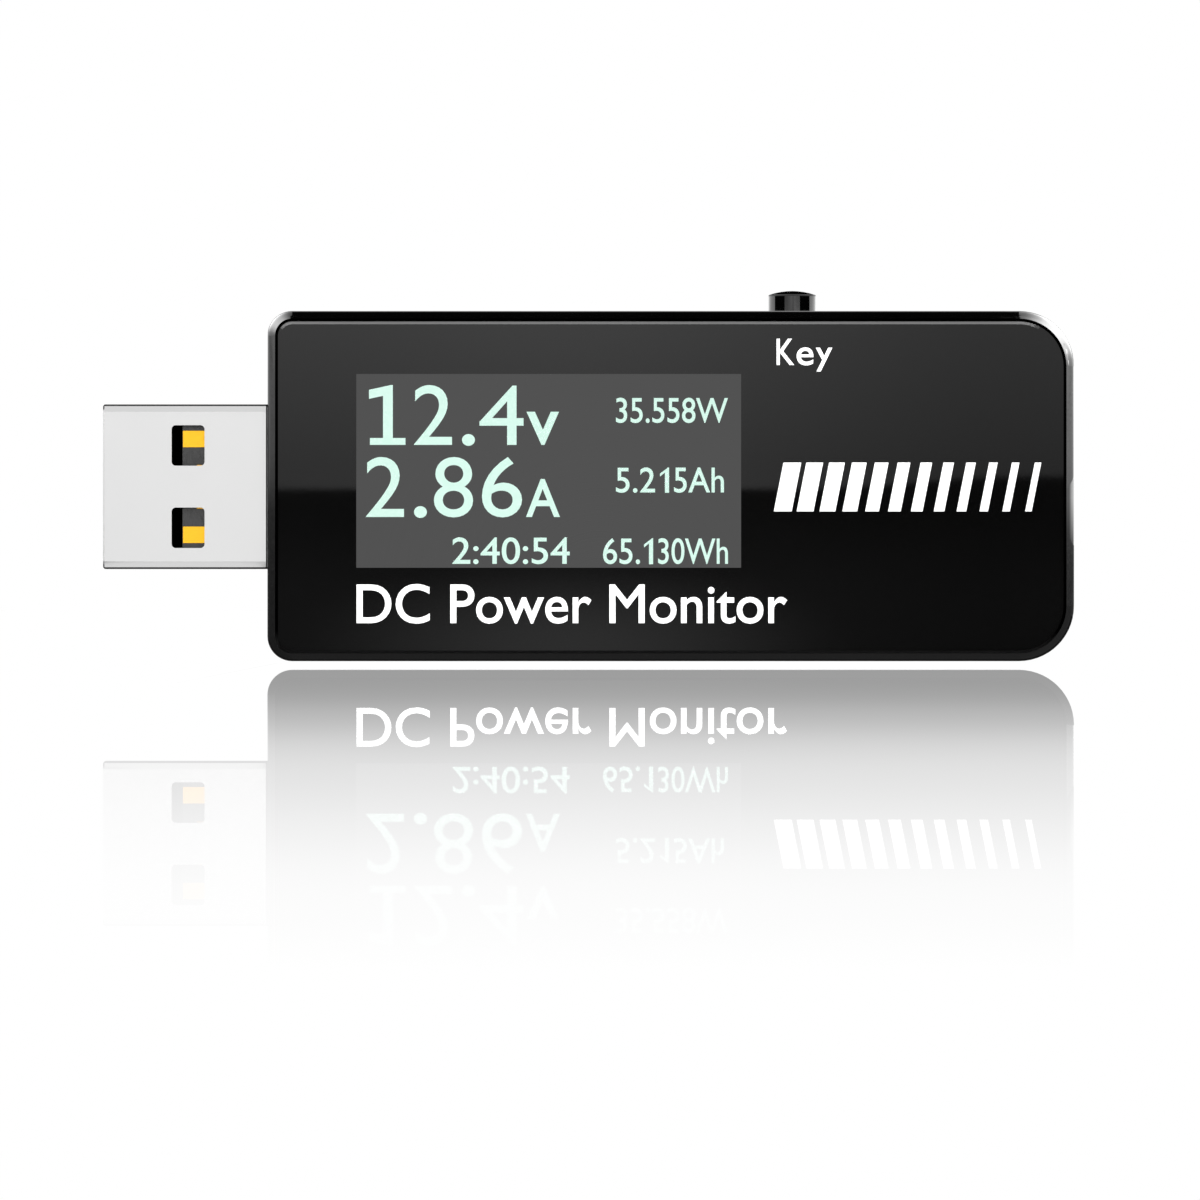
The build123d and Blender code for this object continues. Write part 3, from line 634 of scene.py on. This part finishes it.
READOUTS = (
    # name, text, then left, bottom, right and top in millimetres from the lower left corner of
    # the lit layer, and how far the outlines are thickened, in letter heights
    ("readout_volts_two", "2", 4.55, 9.335, 7.31, 13.685, 0.0),
    ("readout_volts_point", ".", 8.04, 9.265, 8.98, 10.125, 0.0),
    ("readout_volts_four", "4", 9.31, 9.335, 12.51, 13.645, 0.0),
    ("readout_volts_unit", "v", 12.73, 9.335, 15.09, 11.745, 0.01),
    ("readout_amps_two", "2", 1.06, 4.095, 3.82, 8.455, 0.0),
    ("readout_amps_point", ".", 4.55, 4.025, 5.49, 4.885, 0.0),
    ("readout_amps_eight", "8", 6.00, 4.065, 8.84, 8.455, 0.0),
    ("readout_amps_six", "6", 9.49, 4.065, 12.40, 8.455, 0.0),
    ("readout_amps_unit", "A", 12.69, 4.095, 15.16, 6.855, 0.01),
    ("readout_time", "2:40:54", 7.33, 0.665, 15.87, 2.615, 0.006),
    ("readout_power", "35.558W", 19.23, 10.925, 27.37, 12.765, 0.006),
    ("readout_charge_start", "5.2", 19.23, 5.855, 22.07, 7.695, 0.006),
    ("readout_charge_end", "5Ah", 23.45, 5.855, 27.08, 7.695, 0.006),
    ("readout_energy_start", "65.", 18.29, 0.665, 20.98, 2.555, 0.006),
    ("readout_energy_end", "30Wh", 22.29, 0.665, 27.37, 2.555, 0.006),
)
ONES = (
    # name, left end of the flag, left and right side of the stem, bottom and top, all from the
    # same corner; then, as shares of the height, how far down the flag's tip starts and ends and
    # where it meets the stem
    ("readout_volts_one", 1.28, 2.30, 3.01, 9.335, 13.685, 0.08, 0.23, 0.18),
    ("readout_charge_one", 22.43, 22.79, 23.09, 5.855, 7.695, 0.24, 0.36, 0.20),
    ("readout_energy_one", 21.27, 21.63, 21.93, 0.665, 2.555, 0.24, 0.36, 0.20),
)
FOOTED_ONE = "readout_volts_one"
FOOT = rectangle(1.35, 9.335, 3.93, 9.835)  # the bar under the large figure


def figure_one(tip, left, right, bottom, top, tip_start, tip_end, joint):
    """Outline of the figure 1: a stem with a slanted flag at its upper left."""
    tall = top - bottom
    return [
        (tip, top - tip_start * tall), (left + 0.8 * (right - left), top), (right, top),
        (right, bottom), (left, bottom), (left, top - joint * tall), (tip, top - tip_end * tall),
    ]


def light_display():
    """Readings just in front of the display's lit layer."""
    glow = display_text()
    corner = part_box("oled_active_layer")[0]
    front = corner.y - PRINT_THICKNESS
    for name, text, left, bottom, right, top, weight in READOUTS:
        low = (corner.x + left * MM, corner.z + bottom * MM)
        high = (corner.x + right * MM, corner.z + top * MM)
        glyphs(name, text, low, high, front, glow, weight)
    for name, *sizes in ONES:
        outlines = [figure_one(*sizes)]
        if name == FOOTED_ONE:
            outlines.append(FOOT)
        placed = [[(corner.x / MM + x, corner.z / MM + z) for x, z in line] for line in outlines]
        place(name, cut_out(name, placed, front, front + PRINT_THICKNESS), glow)


# ---- studio ------------------------------------------------------------------------------
VIEW_DISTANCE = 1.0  # from the camera to the case's front
VIEW_WIDTH = 0.08699  # width of the picture at the case's front
VIEW_CENTRE = (24.12 * MM, -8.264 * MM)  # X and Z at the picture's centre
FLOOR = -13.015 * MM  # a little below the case, as the gap over its mirror image shows
CARD_DISTANCE = 0.3  # from the case's front to the card that the panel mirrors
HORIZON = -VIEW_CENTRE[1] / VIEW_DISTANCE  # rise of the rays that leave the case's middle
WALL_TOP = 0.02  # rise of the rays that pass just over the walls
LOW_LIGHT = 0.42  # brightness of what the case mirrors below the horizon


def add_camera():
    data = bpy.data.cameras.new("camera")
    data.sensor_width = 36.0
    data.lens = data.sensor_width * VIEW_DISTANCE / VIEW_WIDTH
    data.clip_start = 0.01
    data.clip_end = 100.0
    camera = bpy.data.objects.new("camera", data)
    camera.location = (VIEW_CENTRE[0], FRONT - VIEW_DISTANCE, VIEW_CENTRE[1])
    camera.rotation_euler = (math.radians(90), 0, 0)
    bpy.context.scene.collection.objects.link(camera)
    bpy.context.scene.camera = camera


def sheet(name, corner, across, up, material):
    """Flat sheet of the studio, from one corner along two edges."""
    bm = bmesh.new()
    corner, across, up = Vector(corner), Vector(across), Vector(up)
    outline = (corner, corner + across, corner + across + up, corner + up)
    bm.faces.new([bm.verts.new(point) for point in outline])
    mesh = bpy.data.meshes.new(name)
    bm.to_mesh(mesh)
    mesh.materials.append(material)
    piece = bpy.data.objects.new(name, mesh)
    bpy.context.scene.collection.objects.link(piece)
    return piece


def glow_material(name, build):
    """Card material; build gives its brightness and where it lets light by."""
    material, n = new_material(name)
    strength, clear = build(n)
    emission = n.add("ShaderNodeEmission")
    n.put(emission.inputs["Strength"], strength)
    cover = n.add("ShaderNodeMixShader")
    n.put(cover.inputs[0], clear)
    n.put(cover.inputs[1], emission.outputs[0])
    n.put(cover.inputs[2], n.add("ShaderNodeBsdfTransparent").outputs[0])
    n.finish(cover.outputs[0])
    return material


def card(name, corner, across, up, build):
    """Sheet that shows only in reflections, lit or black as build says."""
    piece = sheet(name, corner, across, up, glow_material(name, build))
    piece.visible_camera = False
    piece.visible_diffuse = False
    piece.visible_shadow = False
    piece.visible_transmission = False
    piece.visible_volume_scatter = False


def incoming(n):
    """X, Y and Z of the direction back along the ray that reached a card."""
    ray = n.add("ShaderNodeSeparateXYZ")
    n.put(ray.inputs[0], n.add("ShaderNodeNewGeometry").outputs["Incoming"])
    return ray.outputs


def ray_start(n):
    """X, Y and Z of the point that mirrors the card."""
    length = n.add("ShaderNodeLightPath").outputs["Ray Length"]
    return [n.sum(here, n.times(part, length)) for here, part in zip(n.position(), incoming(n))]


def front_card():
    """The card that the panel mirrors: bright above the case's middle and dark below it."""
    spread = 1 + CARD_DISTANCE / VIEW_DISTANCE

    def mirrored_x(x):
        return VIEW_CENTRE[0] + (x - VIEW_CENTRE[0]) * spread

    def mirrored_z(z):
        return VIEW_CENTRE[1] + (z - VIEW_CENTRE[1]) * spread

    def pattern(n):
        x, _, z = n.position()
        # The bright part begins near the middle, a little higher at the socket end. It gets
        # brighter upwards, and dims to both sides.
        rise = n.ramp(x, mirrored_x(38 * MM), mirrored_x(55 * MM), 0.0, 0.9 * MM * spread)
        edge = n.sum(z, n.times(rise, -1.0))
        upper = n.ramp(edge, mirrored_z(-0.5 * MM), mirrored_z(0.1 * MM))
        fall = n.ramp(z, mirrored_z(1.5 * MM), mirrored_z(11.5 * MM), 0.66, 1.0, smooth=False)
        side = n.times(
            n.ramp(x, mirrored_x(0), mirrored_x(21 * MM), 1.06, 1.22),
            n.ramp(x, mirrored_x(21 * MM), mirrored_x(56 * MM), 1.0, 0.6),
        )
        # The dark part has a faint pool of light under the display.
        pool_x = n.math("DIVIDE", n.sum(x, -mirrored_x(21.9 * MM)), 22 * MM * spread)
        pool_z = n.math("DIVIDE", n.sum(z, -mirrored_z(-11.5 * MM)), 7 * MM * spread)
        away = n.math("SQRT", n.sum(n.times(pool_x, pool_x), n.times(pool_z, pool_z)))
        lower = n.sum(
            n.ramp(away, 1.0, 0.0, 0.0, 0.5),
            n.times(
                n.ramp(z, mirrored_z(-1 * MM), mirrored_z(-9 * MM), 0.05, 0.12),
                n.ramp(x, mirrored_x(30 * MM), mirrored_x(57 * MM), 1.0, 0.5),
            ),
        )
        above_panel = n.ramp(z, mirrored_z(12.75 * MM), mirrored_z(12.95 * MM), 0.0, 0.9)
        strength = n.sum(n.times(upper, fall, side), n.times(n.invert(upper), lower), above_panel)
        behind = n.add("ShaderNodeNewGeometry").outputs["Backfacing"]
        beside_panel = n.ramp(ray_start(n)[0], 0.5 * MM, 0.3 * MM)
        return strength, n.math("MAXIMUM", behind, beside_panel)

    y = FRONT - CARD_DISTANCE
    left, right = mirrored_x(-1.5 * MM), mirrored_x(60 * MM)
    low, high = mirrored_z(-16 * MM), mirrored_z(16 * MM)
    card("front_card", (right, y, low), (left - right, 0, 0), (0, 0, high - low), pattern)


def rim_flags():
    """Dark flags under and over the case, which only the front of its rim mirrors."""
    def off_rim(n, y):
        return n.ramp(y, FRONT + 0.55 * MM, FRONT + 0.65 * MM)

    def lower_rim_only(n):
        x, y, z = ray_start(n)
        beside = n.ramp(x, 0.0, -0.1 * MM)
        above = n.ramp(z, -TOP + 4 * MM, -TOP + 5 * MM)
        return 0.1, n.math("MAXIMUM", beside, n.math("MAXIMUM", off_rim(n, y), above))

    def upper_rim_only(n):
        # Rays that lean sideways more than any seen from the main camera pass through.
        slanted = n.ramp(n.math("ABSOLUTE", incoming(n)["X"]), 0.06, 0.09)
        return 0.0, n.math("MAXIMUM", off_rim(n, ray_start(n)[1]), slanted)

    under, over, aside = 8 * MM, 30 * MM, 60 * MM
    card("flag_under_case", (-aside, FRONT, -TOP - under), (LENGTH + 2 * aside, 0, 0),
         (0, 300 * MM, 0), lower_rim_only)
    left, right, near, far = -3.5 * MM, LENGTH - 0.1 * MM, -400 * MM, 10 * MM
    card("flag_over_case", (left, near, TOP + over), (right - left, 0, 0), (0, far - near, 0),
         upper_rim_only)


def key_flags():
    """Black flags behind the key and on both sides of it, which only the key mirrors."""
    key_low, key_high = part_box("key_plunger")
    key_x = (key_low.x + key_high.x) / 2
    key_radius = (key_high.x - key_low.x) / 2

    def key_only(n):
        x, _, z = ray_start(n)
        soft = 0.1 * MM
        low, high = key_x - key_radius, key_x + key_radius
        beside = n.math("MAXIMUM", n.ramp(x, low, low - soft), n.ramp(x, high, high + soft))
        below = n.ramp(z, TOP + 0.1 * MM, TOP + 0.05 * MM)
        return 0.0, n.math("MAXIMUM", beside, below)

    behind, half = 20 * MM, 4 * MM
    card("flag_behind_key", (key_x - half, behind, key_high.z + 1 * MM), (2 * half, 0, 0),
         (0, 0, behind), key_only)
    away, low, high = 16 * MM, 13.0 * MM, 14.9 * MM
    turns = math.radians(35), math.radians(88)  # of a flag's ends, from the line to the camera
    for name, side in (("flag_key_left", -1), ("flag_key_right", 1)):
        start, end = [
            Vector((key_x + side * away * math.sin(turn), -away * math.cos(turn), low))
            for turn in turns
        ]
        card(name, start, end - start, (0, 0, high - low), key_only)


def plug_bounce():
    """White card under the plug, which keeps its lower edge as bright as its face."""
    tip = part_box("plug_shell")[0].x

    def pattern(n):
        return 1.0, n.ramp(ray_start(n)[0], -0.3 * MM, 0.0)

    card("plug_bounce", (tip - 1 * MM, -200 * MM, FLOOR + 0.1 * MM), (0.5 * MM - tip, 0, 0),
         (0, 250 * MM, 0), pattern)


def corner_light(name, radius, side, base, peak, top_gain, side_gain):
    """Softbox with a grid aimed at an upper front corner: it shows only on lines through it."""
    target = Vector((radius if side < 0 else LENGTH - radius, FRONT, TOP - radius))

    def pattern(n):
        # Brightest on the diagonal, with its own gain towards the top and towards the side.
        offset = n.add("ShaderNodeVectorMath", operation="SUBTRACT")
        n.put(offset.inputs[0], n.add("ShaderNodeNewGeometry").outputs["Position"])
        offset.inputs[1].default_value = target
        parts = n.add("ShaderNodeSeparateXYZ")
        n.put(parts.inputs[0], offset.outputs[0])
        x, _, z = parts.outputs
        across, up = n.times(x, x), n.times(z, z)
        around = n.sum(across, up)
        between = n.math("DIVIDE", n.times(across, up, 4.0), n.times(around, around))
        turned = n.math("DIVIDE", across, around)
        gain = n.times(n.ramp(turned, 0.0, 0.35, top_gain, 1.0),
                       n.ramp(turned, 0.4, 1.0, 1.0, side_gain))
        # Only rays whose line passes close to the corner's centre see the light.
        ray_x, _, ray_z = incoming(n)
        slant = n.math("SQRT", n.sum(n.times(ray_x, ray_x), n.times(ray_z, ray_z)))
        passing = n.sum(n.times(x, ray_z), n.times(z, ray_x, -1.0))
        miss = n.math("ABSOLUTE", n.math("DIVIDE", passing, slant))
        off_line = n.ramp(miss, 2.5 * MM, 3.5 * MM)
        start_x, start_y, _ = ray_start(n)
        off_case = n.math("MAXIMUM", n.ramp(start_y, REAR - 0.2 * MM, REAR - 0.1 * MM),
                          n.ramp(start_x, 0.0, -0.05 * MM))
        strength = n.times(gain, n.sum(n.times(between, peak), base))
        return strength, n.math("MAXIMUM", off_line, off_case)

    reach, half, near, far = 50 * MM, 48 * MM, -500 * MM, 40 * MM
    out = Vector((side, 0, 1)).normalized()
    along = Vector((side, 0, -1)).normalized()
    start = target + out * reach - along * half
    start.y = near
    card(name, start, 2 * half * along, (0, far - near, 0), pattern)


def notch_light():
    """Softbox for the lever notch in the socket end, where the rim brightens outwards."""
    def pattern(n):
        x, y, z = ray_start(n)
        inset = n.sum(LENGTH, n.times(x, -1.0))
        strength = n.times(
            n.ramp(inset, 0.37 * MM, 0.05 * MM, 2.5, 13.0, smooth=False),
            n.ramp(z, -4.3 * MM, -0.9 * MM, 0.2, 1.0, smooth=False),
        )
        lean = n.times(inset, 1.7)  # the lit patch narrows inwards
        above = n.ramp(n.sum(z, lean), 0.55 * MM, 0.7 * MM)
        below = n.ramp(n.sum(z, n.times(lean, -1.0)), -4.2 * MM, -4.5 * MM)
        inward = n.ramp(inset, 0.56 * MM, 0.6 * MM)
        behind = n.ramp(y, FRONT + 1.3 * MM, FRONT + 1.4 * MM)
        off_notch = n.math("MAXIMUM", n.math("MAXIMUM", above, below),
                           n.math("MAXIMUM", inward, behind))
        return strength, off_notch

    near, far, half, away = -300 * MM, 60 * MM, 30 * MM, 50 * MM
    card("notch_light", (LENGTH + away, near, -half), (0, far - near, 0), (0, 0, 2 * half), pattern)


def add_floor():
    """White floor; near grazing it mirrors what stands on it, and the mirror image fades."""
    material, n = new_material("floor")
    camera_height = VIEW_CENTRE[1] - FLOOR
    facing = n.add("ShaderNodeVectorMath", operation="DOT_PRODUCT")
    geometry = n.add("ShaderNodeNewGeometry")
    n.put(facing.inputs[0], geometry.outputs["Incoming"])
    n.put(facing.inputs[1], geometry.outputs["Normal"])
    slope = n.math("ABSOLUTE", facing.outputs["Value"])
    height = n.sum(n.times(slope, VIEW_DISTANCE), -camera_height)
    curve = n.add("ShaderNodeFloatCurve")
    points = curve.mapping.curves[0].points
    reach = 22 * MM  # height on the object whose mirror image has faded away
    fade = (  # share of that height, and how much of the mirror image shows there
        (0.0, 0.665), (0.06, 0.655), (0.16, 0.52), (0.31, 0.27), (0.41, 0.2), (0.56, 0.11),
        (0.7, 0.045), (0.86, 0.02), (1.0, 0.0),
    )
    points[0].location, points[1].location = fade[0], fade[-1]
    for place_on_curve in fade[1:-1]:
        points.new(*place_on_curve)
    curve.mapping.update()
    n.put(curve.inputs["Value"], n.math("DIVIDE", height, reach, clamp=True))
    white = n.add("ShaderNodeEmission")
    soft = n.add("ShaderNodeBsdfDiffuse")
    soft.inputs["Color"].default_value = grey(0.9)
    mirror = n.add("ShaderNodeBsdfGlossy")
    mirror.inputs["Color"].default_value = grey(1.0)
    mirror.inputs["Roughness"].default_value = 0.0
    matt = n.add("ShaderNodeMixShader")
    n.put(matt.inputs[0], n.ramp(slope, 0.04, 0.15))
    n.put(matt.inputs[1], white.outputs[0])
    n.put(matt.inputs[2], soft.outputs[0])
    mixed = n.add("ShaderNodeMixShader")
    n.put(mixed.inputs[0], curve.outputs[0])
    n.put(mixed.inputs[1], matt.outputs[0])
    n.put(mixed.inputs[2], mirror.outputs[0])
    reflected = n.add("ShaderNodeMixShader")
    n.put(reflected.inputs[0], n.add("ShaderNodeLightPath").outputs["Is Glossy Ray"])
    n.put(reflected.inputs[1], mixed.outputs[0])
    n.put(reflected.inputs[2], n.add("ShaderNodeBsdfTransparent").outputs[0])
    n.finish(reflected.outputs[0])
    sheet("floor", (-6, -6, FLOOR), (12, 0, 0), (0, 12, 0), material)


def add_world():
    """White all round; in reflections, low side walls over a dimmer room below the horizon."""
    world = bpy.data.worlds.new("studio")
    world.use_nodes = True
    bpy.context.scene.world = world
    n = Nodes(world.node_tree)
    direction = n.add("ShaderNodeSeparateXYZ")
    n.put(direction.inputs[0], n.add("ShaderNodeTexCoord").outputs["Generated"])
    x, y, z = direction.outputs
    aside = n.math("SQRT", n.sum(n.times(x, x), n.times(z, z)))
    sideways = n.ramp(aside, 0.08, 0.2)
    above = n.ramp(z, HORIZON - 0.0007, HORIZON + 0.0007)
    # The walls are brighter on the right.
    wall = n.sum(n.ramp(x, -0.1, 0.1, 1.5, 3.5), n.ramp(z, HORIZON, 2 * HORIZON, 0.0, 0.6), -1.0)
    wall_light = n.times(above, n.ramp(z, WALL_TOP + 0.0005, WALL_TOP - 0.0005), wall)
    # The low room is darker on the left, and on the right it glows just under the horizon.
    near_horizon = n.times(n.ramp(x, 0.0, 0.1), n.math("POWER", n.ramp(z, 0.0, HORIZON), 7.0))
    low_light = n.sum(n.ramp(x, -0.3, 0.3, 0.6 * LOW_LIGHT, 1.02 * LOW_LIGHT),
                      n.times(near_horizon, 3.5))
    below = n.times(n.invert(above), n.sum(low_light, -1.0))
    # The key stands above the walls and mirrors the band over them.
    key_band = n.times(n.ramp(z, WALL_TOP - 0.0005, WALL_TOP + 0.0005), n.ramp(z, 0.08, 0.06))
    key_front = n.times(n.ramp(y, 0.0, -0.3),
                        n.ramp(n.math("ABSOLUTE", x), 0.0, 0.55, 0.9, -0.12))
    key_sides = n.times(n.ramp(y, -0.1, 0.1, 0.0, 1.6), n.ramp(n.math("ABSOLUTE", x), 0.15, 0.3))
    key_light = n.times(key_band, n.sum(key_front, key_sides))
    tent = n.sum(n.times(sideways, n.sum(wall_light, below)), key_light, 1.0)
    glossy = n.add("ShaderNodeLightPath").outputs["Is Glossy Ray"]
    background = n.add("ShaderNodeBackground")
    background.inputs["Color"].default_value = grey(1.0)
    n.put(background.inputs["Strength"], n.sum(n.times(glossy, tent), n.invert(glossy)))
    output = n.add("ShaderNodeOutputWorld")
    n.put(output.inputs["Surface"], background.outputs[0])


def add_lamp():
    """Large lamp above and in front of the case, which gives the soft shadow on the floor."""
    data = bpy.data.lights.new("key_light", "AREA")
    data.shape = "DISK"
    data.size = 0.25
    data.energy = 1.2
    lamp = bpy.data.objects.new("key_light", data)
    lamp.location = (0.0, -0.25, 0.35)
    aim = Vector((LENGTH / 2, 0, 0)) - lamp.location
    lamp.rotation_euler = aim.to_track_quat("-Z", "Y").to_euler()
    lamp.visible_glossy = False
    lamp.visible_camera = False
    bpy.context.scene.collection.objects.link(lamp)


def set_studio():
    bpy.context.scene.view_settings.view_transform = "Standard"
    add_camera()
    add_world()
    add_floor()
    front_card()
    rim_flags()
    key_flags()
    plug_bounce()
    corner_light("corner_light_left", PLUG_END_RADIUS, side=-1, base=1.5, peak=12.0,
                 top_gain=0.9, side_gain=1.6)
    corner_light("corner_light_right", SOCKET_END_RADIUS, side=1, base=3.3, peak=22.0,
                 top_gain=0.7, side_gain=1.25)
    notch_light()
    add_lamp()


dress_nodes()
print_panel()
print_label()
light_display()
set_studio()
